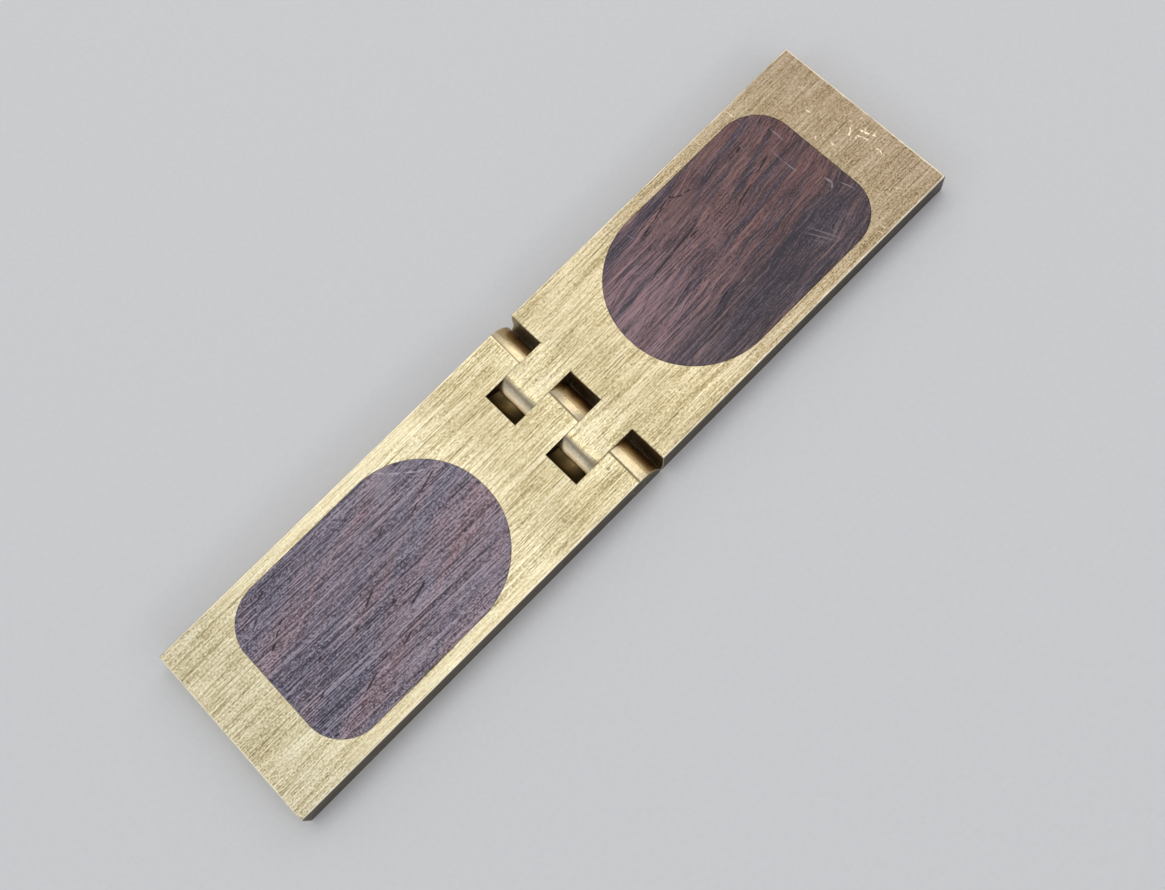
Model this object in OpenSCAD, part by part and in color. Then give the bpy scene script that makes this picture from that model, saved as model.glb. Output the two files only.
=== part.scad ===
// Saddle square: two flat brass leaves on a five-knuckle hinge, each with
// rosewood let flush into both faces. It lies open flat; the second leaf folds
// down over the corner of a board.
// Frame: origin at the middle of the open tool on the surface it lies on,
// +X along the tool from leaf A to leaf B, +Y across it, +Z up.

/* [Leaves] */
// Length from the free end of leaf A to the free end of leaf B, open flat
total_len = 181.8; // [160:0.2:220]
// Width of the leaves
leaf_w = 44.45; // [40:0.05:50]
// Thickness of the leaves
leaf_t = 6.35; // [6:0.05:8]

/* [Hinge] */
// Pin axis, measured from the middle of the open tool
pin_x = 0.95; // [0:0.05:2]
// Diameter of the hinge pin
pin_d = 3.175; // [2.5:0.025:3.3]
// Radial running clearance of the pin in leaf B's knuckles
pin_clear = 0.04; // [0.02:0.01:0.1]
// Radius of the noses of leaf A's fingers
nose_r = 5.6; // [5.4:0.05:5.7]
// Centre of that radius, along the tool from the pin axis
nose_dx = 0.2; // [0:0.05:0.3]
// Centre of that radius, above the underside
nose_z = 0.8; // [0.6:0.05:0.9]
// Reach of leaf B's fingers past the pin axis
tip_b = 5.425; // [5.3:0.025:5.6]
// Gap between neighbouring knuckles
knuckle_gap = 0.08; // [0.04:0.01:0.2]
// Slot bottoms in leaf B at the top face, from the pin axis
slot_b = 7.29; // [7.2:0.01:8]
// How far those slot bottoms lean in on their way down
slot_lean = 0.5; // [0.2:0.05:0.6]
// Narrow gap left between their foot and leaf A's noses
foot_gap = 0.20; // [0.18:0.01:0.6]
// Slot bottoms in leaf A at the top face, from the pin axis
slot_a = 8.59; // [8.4:0.01:9.5]

/* [Stop shelf] */
// Drop of the shelf in leaf A's slots below mid thickness
shelf_drop = 0.125; // [0.05:0.005:0.3]
// Radius of leaf B's lower finger lobes about the pin
lobe_r = 4.95; // [4.7:0.05:5]
// Gap between those lobes and the hollow end of the shelf
lobe_gap = 0.15; // [0.1:0.01:0.2]

/* [Inlays] */
// Width of every inlay
inlay_w = 38.1; // [34:0.1:39]
// Length of leaf A's inlays
inlay_len_a = 57.1; // [50:0.1:60]
// Length of leaf B's inlays
inlay_len_b = 56.55; // [50:0.05:60]
// Brass left between the free end and the inlay
end_margin = 13.15; // [10:0.05:15]
// Corner radius at the inlay's hinge end
inlay_r_in = 18.6; // [16:0.1:18.8]
// Corner radius at the inlay's free end
inlay_r_out = 9.4; // [6:0.1:12]
// Thickness of an inlay
inlay_t = 2.2; // [1.5:0.1:2.4]
// Glue line round an inlay
glue = 0.05; // [0.02:0.01:0.1]

/* [Hidden] */
$fn = 96;
end_x = total_len / 2;
pitch = leaf_w / 5;
mid = leaf_t / 2;
nose_x = pin_x + nose_dx;
// where leaf A's noses meet the top face and the underside
flat_a = nose_x + sqrt(nose_r * nose_r - (leaf_t - nose_z) * (leaf_t - nose_z));
foot_a = nose_x + sqrt(nose_r * nose_r - nose_z * nose_z);
// leaf B's upper noses are quarter rounds of half the thickness
flat_b = pin_x - tip_b + mid;
shelf_z = mid - shelf_drop;
cove_r = leaf_t - shelf_z;
brass = [0.83, 0.76, 0.55];
rosewood_a = [0.30, 0.20, 0.20];
rosewood_b = [0.26, 0.13, 0.11];

// middles of the knuckles across the width, counted from the -Y edge
function knuckle_y(k) = (k - 2) * pitch;
// leaf A owns the even columns, leaf B the odd ones
A_COLUMNS = [0, 2, 4];
B_COLUMNS = [1, 3];

// a profile drawn in X and Z, extruded over one knuckle column.
// An outer column keeps the full width of the leaf on its outer side.
module column(k, pad = 0) {
    lo = k == 0 ? -leaf_w / 2 : knuckle_y(k) - pitch / 2 + pad;
    hi = k == 4 ? leaf_w / 2 : knuckle_y(k) + pitch / 2 - pad;
    translate([0, hi, 0]) rotate([90, 0, 0]) linear_extrude(height = hi - lo) children();
}

// finger of leaf A: flat to just past the pin, then one large round down to
// the underside
module finger_a_profile() {
    a0 = asin((leaf_t - nose_z) / nose_r);
    a1 = -asin(nose_z / nose_r);
    polygon(concat([[-end_x, 0], [-end_x, leaf_t]],
        [for (i = [0:32]) let (a = a0 + (a1 - a0) * i / 32)
            [nose_x + nose_r * cos(a), nose_z + nose_r * sin(a)]]));
}

// slot column of leaf A: a cove falls from the top face to a shelf at mid
// thickness, and the shelf ends in a hollow round leaf B's lobe
module slot_a_profile() {
    x_wall = pin_x - slot_a;
    difference() {
        translate([-end_x, 0]) square([end_x + pin_x, leaf_t]);
        translate([x_wall + cove_r, leaf_t]) circle(r = cove_r);
        translate([x_wall + cove_r, shelf_z]) square([20, leaf_t]);
        translate([pin_x, mid]) circle(r = lobe_r + lobe_gap);
    }
}

// finger of leaf B: the upper half is a quarter round, the lower half a lobe
// about the pin, so that the tip rests over leaf A's shelf when the tool lies
// open
module finger_b_profile() {
    translate([flat_b, mid]) square([end_x - flat_b, mid]);
    translate([pin_x, 0]) square([end_x - pin_x, leaf_t]);
    intersection() {
        translate([flat_b, mid]) circle(r = mid);
        translate([flat_b - mid - 1, mid]) square([mid + 1.01, mid]);
    }
    intersection() {
        translate([pin_x, mid]) circle(r = lobe_r);
        translate([pin_x - lobe_r - 1, 0]) square([lobe_r + 1, mid]);
    }
}

// slot column of leaf B: its bottom leans in on the way down and ends in a
// foot close to leaf A's nose
module slot_b_profile() {
    top = pin_x + slot_b;
    polygon([[end_x, 0], [end_x, leaf_t], [top, leaf_t],
             [top - 0.6 * slot_lean, leaf_t - 2.65], [top - slot_lean, 1.3],
             [foot_a + foot_gap, 0]]);
}

// outline of an inlay: nearly a half round towards the hinge, rounded corners
// towards the free end, all of it grown outwards by g
module inlay_outline(len, g = 0) {
    r1 = inlay_r_in + g;
    r2 = inlay_r_out + g;
    h = inlay_w / 2 + g;
    x0 = -g;
    x1 = len + g;
    for (s = [-1, 1]) {
        translate([x0 + r1, s * (h - r1)]) circle(r = r1);
        translate([x1 - r2, s * (h - r2)]) circle(r = r2);
    }
    translate([x0 + r1, -h]) square([x1 - r2 - x0 - r1, 2 * h]);
    translate([x0, -(h - r1)]) square([x1 - x0, 2 * (h - r1)]);
    translate([x1 - r2 - 1, -(h - r2)]) square([r2 + 1, 2 * (h - r2)]);
}

// placed outline: side -1 is leaf A, side 1 leaf B
module placed_outline(side, g = 0) {
    len = side < 0 ? inlay_len_a : inlay_len_b;
    translate([side * (end_x - end_margin - len), 0])
        mirror([side < 0 ? 1 : 0, 0]) inlay_outline(len, g);
}

module pocket(side, top) {
    translate([0, 0, top ? leaf_t - inlay_t : -1])
        linear_extrude(height = inlay_t + 1) placed_outline(side, glue);
}

module pin_bore(r) {
    translate([pin_x, leaf_w, mid]) rotate([90, 0, 0]) cylinder(r = r, h = 2 * leaf_w);
}

module leaf_a() {
    color(brass) difference() {
        union() {
            for (k = A_COLUMNS) column(k, knuckle_gap / 2) finger_a_profile();
            for (k = B_COLUMNS) column(k, -knuckle_gap / 2) slot_a_profile();
        }
        pocket(-1, true);
        pocket(-1, false);
        pin_bore(pin_d / 2);
    }
}

module leaf_b() {
    color(brass) difference() {
        union() {
            for (k = B_COLUMNS) column(k, knuckle_gap / 2) finger_b_profile();
            for (k = A_COLUMNS) column(k, -knuckle_gap / 2) slot_b_profile();
        }
        pocket(1, true);
        pocket(1, false);
        pin_bore(pin_d / 2 + pin_clear);
    }
}

module hinge_pin() {
    color(brass) translate([pin_x, leaf_w / 2, mid]) rotate([90, 0, 0])
        cylinder(d = pin_d, h = leaf_w);
}

module inlay(side, top) {
    translate([0, 0, top ? leaf_t - inlay_t : 0])
        linear_extrude(height = inlay_t) placed_outline(side);
}

module inlay_a_top() { color(rosewood_a) inlay(-1, true); }
module inlay_a_bottom() { color(rosewood_a) inlay(-1, false); }
module inlay_b_top() { color(rosewood_b) inlay(1, true); }
module inlay_b_bottom() { color(rosewood_b) inlay(1, false); }

leaf_a();
leaf_b();
hinge_pin();
inlay_a_top();
inlay_a_bottom();
inlay_b_top();
inlay_b_bottom();
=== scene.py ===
import math
import bpy
import bmesh
from mathutils import Matrix, Vector, noise as mnoise


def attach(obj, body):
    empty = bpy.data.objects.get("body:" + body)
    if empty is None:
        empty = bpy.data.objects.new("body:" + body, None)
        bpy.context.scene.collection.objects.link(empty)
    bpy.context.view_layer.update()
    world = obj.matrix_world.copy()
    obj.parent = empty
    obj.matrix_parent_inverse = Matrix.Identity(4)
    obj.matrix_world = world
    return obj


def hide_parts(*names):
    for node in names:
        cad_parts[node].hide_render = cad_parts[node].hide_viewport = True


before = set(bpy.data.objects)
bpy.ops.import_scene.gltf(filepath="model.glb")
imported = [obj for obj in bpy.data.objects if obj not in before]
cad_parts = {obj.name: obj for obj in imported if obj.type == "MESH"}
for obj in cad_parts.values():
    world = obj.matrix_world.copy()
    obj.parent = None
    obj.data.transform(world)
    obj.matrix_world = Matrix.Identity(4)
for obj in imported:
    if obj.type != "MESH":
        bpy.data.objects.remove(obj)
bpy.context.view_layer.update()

scene = bpy.context.scene
scene.view_settings.view_transform = 'Standard'

# ---------------------------------------------------------------- camera

cam_data = bpy.data.cameras.new("camera")
cam_data.sensor_fit = 'HORIZONTAL'
cam_data.sensor_width = 36.0
cam_data.lens = 41.0244
cam_data.clip_start = 0.005
cam_data.clip_end = 20.0
camera = bpy.data.objects.new("camera", cam_data)
scene.collection.objects.link(camera)
camera.matrix_world = Matrix((
    (0.7064571889, 0.7006101930, -0.1003174847, -0.027797),
    (-0.6984759408, 0.6672779327, -0.2585952835, -0.077444),
    (-0.1142348477, 0.2527558465, 0.9607626563, 0.262668),
    (0.0, 0.0, 0.0, 1.0)))
scene.camera = camera

# ---------------------------------------------------------------- sizes, mm

END = 90.9
HALF = 22.225
T = 6.35
MID = T / 2
PIN_X = 0.95
PIN_R = 1.5875
PITCH = 44.45 / 5
GAP = 0.025
NOSE_R = 5.6
NOSE_X = PIN_X + 0.2
NOSE_Z = 0.8
FLAT_A = NOSE_X + math.sqrt(NOSE_R ** 2 - (T - NOSE_Z) ** 2)
FOOT_A = NOSE_X + math.sqrt(NOSE_R ** 2 - NOSE_Z ** 2)
FLAT_B = PIN_X - 5.425 + MID
SLOT_B = PIN_X + 7.29
SLOT_A = PIN_X - 8.59
SHELF = MID - 0.125
COVE_R = T - SHELF
LOBE_R = 4.95
HOLLOW_R = LOBE_R + 0.15
INLAY_H = 19.05
R_IN = 18.6
R_OUT = 9.4
INLAY_T = 2.2
GLUE = 0.05
INLAY_A = (-(END - 13.15), -(END - 13.15 - 57.1))
INLAY_B = (END - 13.15 - 56.55, END - 13.15)


# ---------------------------------------------------------------- mesh tools

def arc(cx, cz, r, a0, a1, n):
    return [(cx + r * math.cos(math.radians(a0 + (a1 - a0) * i / n)),
             cz + r * math.sin(math.radians(a0 + (a1 - a0) * i / n))) for i in range(n + 1)]


def clean_loop(pts):
    out = []
    for p in pts:
        if not out or (abs(p[0] - out[-1][0]) + abs(p[1] - out[-1][1])) > 1e-5:
            out.append(p)
    if abs(out[0][0] - out[-1][0]) + abs(out[0][1] - out[-1][1]) < 1e-5:
        out.pop()
    return out


def prism(name, pts, lo, hi, axis):
    """closed prism: pts are (x, z) for axis 'y' and (x, y) for axis 'z'"""
    pts = clean_loop(pts)
    bm = bmesh.new()

    def place(p, h):
        return (p[0], h, p[1]) if axis == 'y' else (p[0], p[1], h)
    a = [bm.verts.new(place(p, lo)) for p in pts]
    b = [bm.verts.new(place(p, hi)) for p in pts]
    n = len(pts)
    bm.faces.new(a)
    bm.faces.new(list(reversed(b)))
    for i in range(n):
        j = (i + 1) % n
        bm.faces.new((a[i], b[i], b[j], a[j]))
    bmesh.ops.recalc_face_normals(bm, faces=bm.faces[:])
    me = bpy.data.meshes.new(name)
    bm.to_mesh(me)
    bm.free()
    ob = bpy.data.objects.new(name, me)
    scene.collection.objects.link(ob)
    return ob


def rod(name, x, z, r, y0, y1, n=64):
    return prism(name, arc(x, z, r, 0, 360, n)[:-1], y0, y1, 'y')


def bake(ob):
    dg = bpy.context.evaluated_depsgraph_get()
    me = bpy.data.meshes.new_from_object(ob.evaluated_get(dg), depsgraph=dg)
    old = ob.data
    ob.modifiers.clear()
    ob.data = me
    me.name = ob.name
    bpy.data.meshes.remove(old)


def cut(ob, cutters):
    for c in cutters:
        m = ob.modifiers.new("cut", 'BOOLEAN')
        m.operation = 'DIFFERENCE'
        m.solver = 'EXACT'
        m.object = c
    bake(ob)
    for c in cutters:
        me = c.data
        bpy.data.objects.remove(c)
        bpy.data.meshes.remove(me)
    bm = bmesh.new()
    bm.from_mesh(ob.data)
    bmesh.ops.remove_doubles(bm, verts=bm.verts[:], dist=1e-4)
    bmesh.ops.dissolve_limit(bm, angle_limit=math.radians(0.05), verts=bm.verts[:],
                             edges=bm.edges[:], use_dissolve_boundaries=False)
    bm.to_mesh(ob.data)
    bm.free()


def inlay_loop(span, side, g, n=40):
    """outline of an inlay, grown by g; side -1 has its hinge end at span[1]"""
    x_in, x_out = (span[1], span[0]) if side < 0 else span
    s = side
    c_in = x_in + s * R_IN
    c_out = x_out - s * R_OUT
    y_in = INLAY_H - R_IN
    y_out = INLAY_H - R_OUT
    pts = []
    for a in arc(0, 0, 1, 180, 90, n):
        pts.append((c_in + s * a[0] * (R_IN + g), y_in + a[1] * (R_IN + g)))
    for a in arc(0, 0, 1, 90, 0, n):
        pts.append((c_out + s * a[0] * (R_OUT + g), y_out + a[1] * (R_OUT + g)))
    for a in arc(0, 0, 1, 0, -90, n):
        pts.append((c_out + s * a[0] * (R_OUT + g), -y_out + a[1] * (R_OUT + g)))
    for a in arc(0, 0, 1, -90, -180, n):
        pts.append((c_in + s * a[0] * (R_IN + g), -y_in + a[1] * (R_IN + g)))
    return clean_loop(pts)


def edge_angle(e):
    if len(e.link_faces) != 2:
        return 0.0
    a = e.calc_face_angle_signed(0.0)
    return math.degrees(a)


def bevel_by(ob, width_of, segments=3):
    """bevels each convex edge by the width, in mm, that width_of gives it"""
    bm = bmesh.new()
    bm.from_mesh(ob.data)
    bm.normal_update()
    subdivide_wear(bm)
    lay = bm.edges.layers.float.get("bevel_weight_edge") or bm.edges.layers.float.new("bevel_weight_edge")
    big = 0.5
    for e in bm.edges:
        ang = edge_angle(e)
        e[lay] = min(1.0, width_of(e, ang) / big) if ang > 18 else 0.0
    bm.to_mesh(ob.data)
    bm.free()
    m = ob.modifiers.new("bevel", 'BEVEL')
    m.width = big
    m.segments = segments
    m.limit_method = 'WEIGHT'
    m.use_clamp_overlap = False
    m.miter_outer = 'MITER_ARC'
    m.loop_slide = True
    bake(ob)


def subdivide_wear(bm):
    def long_outer(e):
        a, b = e.verts
        if e.calc_length() < 6:
            return False
        on_side = abs(abs(a.co.y) - HALF) < 1e-3 and abs(abs(b.co.y) - HALF) < 1e-3
        on_end = abs(abs(a.co.x) - END) < 1e-3 and abs(abs(b.co.x) - END) < 1e-3
        if not (on_side or on_end):
            return False
        return edge_angle(e) > 18
    for e in [e for e in bm.edges if long_outer(e)]:
        bmesh.ops.subdivide_edges(bm, edges=[e], cuts=int(e.calc_length() / 1.1))


def wear(ob, amount=0.07):
    """lets the rounding of the outer edges grow and shrink along their length"""
    for v in ob.data.vertices:
        c = v.co
        top = abs(c.z - T) < 1e-3
        bot = abs(c.z) < 1e-3
        if top or bot:
            if HALF - 0.6 < abs(c.y) < HALF - 1e-3:
                n = mnoise.noise((c.x * 0.35, math.copysign(3.0, c.y), c.z)) + \
                    0.6 * mnoise.noise((c.x * 1.3, math.copysign(7.0, c.y), c.z))
                c.y -= math.copysign(1.0, c.y) * max(0.0, n + 0.25) * amount
            if END - 0.6 < abs(c.x) < END - 1e-3:
                n = mnoise.noise((c.y * 0.35, math.copysign(5.0, c.x), c.z)) + \
                    0.6 * mnoise.noise((c.y * 1.3, math.copysign(9.0, c.x), c.z))
                c.x -= math.copysign(1.0, c.x) * max(0.0, n + 0.25) * amount


def finish_mesh(ob):
    """flat shading on the large true planes, smooth on the roundings"""
    me = ob.data
    for p in me.polygons:
        n = p.normal
        axis = max(abs(n.x), abs(n.y), abs(n.z))
        p.use_smooth = not (axis > 0.99995 and p.area > 0.6)
    me.transform(Matrix.Scale(0.001, 4))
    me.update()


# ---------------------------------------------------------------- leaf A

def knuckle_y(k):
    return (k - 2) * PITCH


def make_leaf_a():
    a0 = math.degrees(math.asin((T - NOSE_Z) / NOSE_R))
    a1 = -math.degrees(math.asin(NOSE_Z / NOSE_R))
    up = arc(NOSE_X, NOSE_Z, NOSE_R, a0, a1, 34)
    # a short flat leads from the face into the round
    up = [up[0]] + [p for p in up if p[0] > 3.35]
    prof = [(-END, 0)] + [(-END, T)] + up
    ob = prism("leaf_a_body", prof, -HALF, HALF, 'y')
    cove = arc(SLOT_A + COVE_R, T, COVE_R, 180, 270, 20)
    a0 = 180 + math.degrees(math.asin((MID - SHELF) / HOLLOW_R))
    a1 = 180 + math.degrees(math.asin(MID / HOLLOW_R))
    hollow = arc(PIN_X, MID, HOLLOW_R, a0, a1, 16)
    slot = [(SLOT_A, T + 1)] + cove + hollow + [(hollow[-1][0], -1), (12, -1), (12, T + 1)]
    cutters = []
    for k in (1, 3):
        cutters.append(prism("slot", slot, knuckle_y(k) - PITCH / 2 - GAP, knuckle_y(k) + PITCH / 2 + GAP, 'y'))
    cutters.append(prism("pocket", inlay_loop(INLAY_A, -1, GLUE), T - INLAY_T, T + 1, 'z'))
    cutters.append(prism("pocket", inlay_loop(INLAY_A, -1, GLUE), -1, INLAY_T, 'z'))
    cutters.append(rod("bore", PIN_X, MID, PIN_R + 0.012, -HALF - 1, HALF + 1))
    # a knock at the near corner of the free end
    nick = prism("nick", [(-3, -3), (3, -3), (3, 3), (-3, 3)], 0, 3, 'z')
    nick.data.transform(Matrix.Translation((-END + 0.30, -HALF + 0.30, T - 0.22)) @
                        Matrix.Rotation(math.radians(28), 4, 'Z') @ Matrix.Rotation(math.radians(-42), 4, 'Y') @
                        Matrix.Translation((0, 0, 0.0)))
    cutters.append(nick)
    cut(ob, cutters)
    # the line where the round begins runs slightly out of square
    for v in ob.data.vertices:
        if abs(v.co.x - FLAT_A) < 0.02 and v.co.z > T - 0.01:
            v.co.x = FLAT_A + 0.08 + 0.0225 * v.co.y

    def width(e, ang):
        a, b = e.verts[0].co, e.verts[1].co
        mx = (a.x + b.x) / 2
        my = (a.y + b.y) / 2
        mz = (a.z + b.z) / 2
        if mx < -10 and abs(my) < 19.5 and mx > -END + 1:
            return 0.03 if (mz > T - 0.01 or mz < 0.01) else 0.0
        if abs(my) > HALF - 0.01 or mx < -END + 1.5:
            if mx > 1.5:
                return 0.12
            return 0.24 if mx < -END + 1.5 else 0.14
        if abs(my) < HALF - 0.01 and mx > -9:
            if abs(mz - MID) < PIN_R + 0.05 and abs(mx - PIN_X) < PIN_R + 0.05:
                return 0.0
            return 0.06
        return 0.05
    bevel_by(ob, width)
    wear(ob)
    finish_mesh(ob)
    return ob


def make_leaf_b():
    up = arc(FLAT_B, MID, MID, 90, 180, 22)
    a0 = 180
    a1 = 180 + math.degrees(math.asin(MID / LOBE_R))
    lobe = arc(PIN_X, MID, LOBE_R, a0, a1, 16)
    prof = [(END, T)] + up + lobe + [(END, 0)]
    ob = prism("leaf_b_body", prof, -HALF, HALF, 'y')
    cutters = []
    for k in (0, 2, 4):
        lo = -HALF - 1 if k == 0 else knuckle_y(k) - PITCH / 2 - GAP
        hi = HALF + 1 if k == 4 else knuckle_y(k) + PITCH / 2 + GAP
        wall = [(FOOT_A + 0.20, 0), (SLOT_B - 0.5, 1.3), (SLOT_B - 0.3, T - 2.65), (SLOT_B, T)]
        cutters.append(prism("slot", [(-12, -1), (wall[0][0], -1)] + wall + [(SLOT_B, T + 1), (-12, T + 1)], lo, hi, 'y'))
    cutters.append(prism("pocket", inlay_loop(INLAY_B, 1, GLUE), T - INLAY_T, T + 1, 'z'))
    cutters.append(prism("pocket", inlay_loop(INLAY_B, 1, GLUE), -1, INLAY_T, 'z'))
    cutters.append(rod("bore", PIN_X, MID, PIN_R + 0.04, -HALF - 1, HALF + 1))
    cut(ob, cutters)

    def width(e, ang):
        a, b = e.verts[0].co, e.verts[1].co
        mx = (a.x + b.x) / 2
        my = (a.y + b.y) / 2
        mz = (a.z + b.z) / 2
        if 10 < mx < END - 1 and abs(my) < 19.5:
            return 0.03 if (mz > T - 0.01 or mz < 0.01) else 0.0
        if abs(my) > HALF - 0.01 or mx > END - 1:
            return 0.18
        if abs(mz - MID) < PIN_R + 0.06 and abs(mx - PIN_X) < PIN_R + 0.06:
            return 0.0
        if mx > SLOT_B - 0.05 and abs(a.x - b.x) < 0.01:
            return 0.20
        return 0.06
    bevel_by(ob, width)
    wear(ob)
    finish_mesh(ob)
    return ob


def make_inlay(name, span, side, top):
    z0 = T - INLAY_T if top else 0.0
    ob = prism(name, inlay_loop(span, side, 0.0), z0, z0 + INLAY_T, 'z')
    m = ob.modifiers.new("bevel", 'BEVEL')
    m.width = 0.04
    m.segments = 2
    m.limit_method = 'ANGLE'
    m.angle_limit = math.radians(40)
    m.use_clamp_overlap = False
    bake(ob)
    finish_mesh(ob)
    return ob


def make_pin():
    ob = rod("hinge_pin_round", PIN_X, MID, PIN_R, -HALF, HALF, 72)
    m = ob.modifiers.new("bevel", 'BEVEL')
    m.width = 0.10
    m.segments = 3
    m.limit_method = 'ANGLE'
    m.angle_limit = math.radians(40)
    m.use_clamp_overlap = False
    bake(ob)
    finish_mesh(ob)
    return ob


# ---------------------------------------------------------------- node tools

def lin(c):
    c = c / 255.0
    return c / 12.92 if c <= 0.04045 else ((c + 0.055) / 1.055) ** 2.4


def rgb(r, g, b, k=1.0):
    return (lin(r) * k, lin(g) * k, lin(b) * k, 1.0)


class Graph:
    def __init__(self, name):
        self.mat = bpy.data.materials.new(name)
        self.mat.use_nodes = True
        self.nt = self.mat.node_tree
        self.nt.nodes.clear()
        self.out = self.nt.nodes.new('ShaderNodeOutputMaterial')
        tc = self.nt.nodes.new('ShaderNodeTexCoord')
        mm = self.nt.nodes.new('ShaderNodeVectorMath')
        mm.operation = 'SCALE'
        self.nt.links.new(tc.outputs['Object'], mm.inputs[0])
        mm.inputs['Scale'].default_value = 1000.0
        self.P = mm.outputs[0]
        self.x, self.y, self.z = self.sep(self.P)
        self.nx, self.ny, self.nz = self.sep(tc.outputs['Normal'])

    def put(self, sock, v):
        if isinstance(v, bpy.types.NodeSocket):
            self.nt.links.new(v, sock)
        else:
            sock.default_value = v

    def sep(self, v):
        n = self.nt.nodes.new('ShaderNodeSeparateXYZ')
        self.put(n.inputs[0], v)
        return n.outputs[0], n.outputs[1], n.outputs[2]

    def vec(self, x, y, z=0.0):
        n = self.nt.nodes.new('ShaderNodeCombineXYZ')
        self.put(n.inputs[0], x)
        self.put(n.inputs[1], y)
        self.put(n.inputs[2], z)
        return n.outputs[0]

    def m(self, op, a, b=0.0, c=0.0, clamp=False):
        n = self.nt.nodes.new('ShaderNodeMath')
        n.operation = op
        n.use_clamp = clamp
        self.put(n.inputs[0], a)
        self.put(n.inputs[1], b)
        self.put(n.inputs[2], c)
        return n.outputs[0]

    def add(self, a, b):
        return self.m('ADD', a, b)

    def sub(self, a, b):
        return self.m('SUBTRACT', a, b)

    def mul(self, a, b):
        return self.m('MULTIPLY', a, b)

    def mad(self, a, b, c):
        return self.m('MULTIPLY_ADD', a, b, c)

    def rng(self, v, a, b, c=0.0, d=1.0, smooth=True):
        n = self.nt.nodes.new('ShaderNodeMapRange')
        n.interpolation_type = 'SMOOTHSTEP' if smooth else 'LINEAR'
        n.clamp = True
        self.put(n.inputs['Value'], v)
        n.inputs['From Min'].default_value = a
        n.inputs['From Max'].default_value = b
        n.inputs['To Min'].default_value = c
        n.inputs['To Max'].default_value = d
        return n.outputs['Result']

    def noise(self, v, scale=1.0, detail=2.0, rough=0.5, distortion=0.0):
        n = self.nt.nodes.new('ShaderNodeTexNoise')
        n.noise_dimensions = '3D'
        self.put(n.inputs['Vector'], v)
        n.inputs['Scale'].default_value = scale
        n.inputs['Detail'].default_value = detail
        n.inputs['Roughness'].default_value = rough
        n.inputs['Distortion'].default_value = distortion
        return n.outputs['Fac']

    def mix(self, f, a, b, mode='MIX'):
        n = self.nt.nodes.new('ShaderNodeMix')
        n.data_type = 'RGBA'
        n.blend_type = mode
        n.clamp_factor = True
        self.put(n.inputs[0], f)
        self.put(n.inputs[6], a)
        self.put(n.inputs[7], b)
        return n.outputs[2]

    def ramp(self, v, stops, interp='LINEAR'):
        n = self.nt.nodes.new('ShaderNodeValToRGB')
        cr = n.color_ramp
        cr.interpolation = interp
        while len(cr.elements) > 1:
            cr.elements.remove(cr.elements[-1])
        cr.elements[0].position = stops[0][0]
        cr.elements[0].color = stops[0][1]
        for pos, col in stops[1:]:
            e = cr.elements.new(pos)
            e.color = col
        self.put(n.inputs[0], v)
        return n.outputs[0]

    def scale_col(self, col, f):
        n = self.nt.nodes.new('ShaderNodeVectorMath')
        n.operation = 'SCALE'
        self.put(n.inputs[0], col)
        self.put(n.inputs['Scale'], f)
        return n.outputs[0]



def strokes(g, p, items):
    """the strongest of a list of tapered strokes: (x0, y0, x1, y1, half width, strength)"""
    total = None
    for x0, y0, x1, y1, w, s in items:
        n = g.nt.nodes.new('ShaderNodeMapping')
        n.vector_type = 'TEXTURE'
        g.put(n.inputs['Vector'], p)
        n.inputs['Location'].default_value = ((x0 + x1) / 2, (y0 + y1) / 2, 0.0)
        n.inputs['Rotation'].default_value = (0.0, 0.0, math.atan2(y1 - y0, x1 - x0))
        n.inputs['Scale'].default_value = (math.hypot(x1 - x0, y1 - y0) / 2 + w * 0.5, w, 1.0)
        d = g.nt.nodes.new('ShaderNodeVectorMath')
        d.operation = 'DOT_PRODUCT'
        g.put(d.inputs[0], n.outputs[0])
        g.put(d.inputs[1], n.outputs[0])
        k = g.m('MULTIPLY_ADD', d.outputs['Value'], -s, s)
        total = g.m('MAXIMUM', 0.0 if total is None else total, k)
    return total


# ---------------------------------------------------------------- brass

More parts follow.
